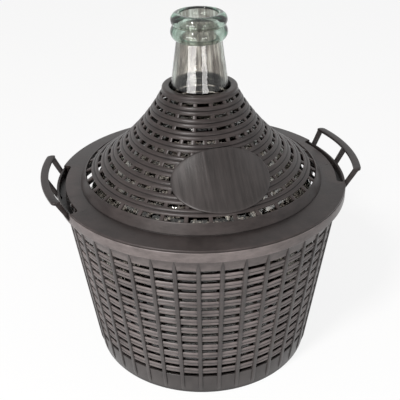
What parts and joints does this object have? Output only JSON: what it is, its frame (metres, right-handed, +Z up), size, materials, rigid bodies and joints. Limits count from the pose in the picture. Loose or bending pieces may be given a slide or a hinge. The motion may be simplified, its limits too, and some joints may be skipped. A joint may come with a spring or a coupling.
{
  "type": "demijohn",
  "caption": "Clear glass demijohn in a slatted plastic basket with loop handles, under a slotted plastic cover that lifts off over the ringed neck.",
  "frame": {"origin": "centre of the standing ring, on the table", "axes": "+Z up along the bottle, +X through a handle, -Y out of the oval plate"},
  "size_m": [0.34, 0.309, 0.3788],
  "materials": {
    "basket_plastic": "satin black moulded plastic",
    "cover_plastic": "satin black moulded plastic",
    "bottle_glass": "clear blown glass with a faint green tint"
  },
  "bodies": {
    "basket": {"basket": "basket_plastic", "glass_bottle": "bottle_glass"},
    "cover": {"cover": "cover_plastic"}
  },
  "joints": [
    {"name": "cover_lift", "type": "slide", "parent": "basket", "child": "cover", "axis": [0, 0, 1], "range_m": [0, 0.2]}
  ]
}
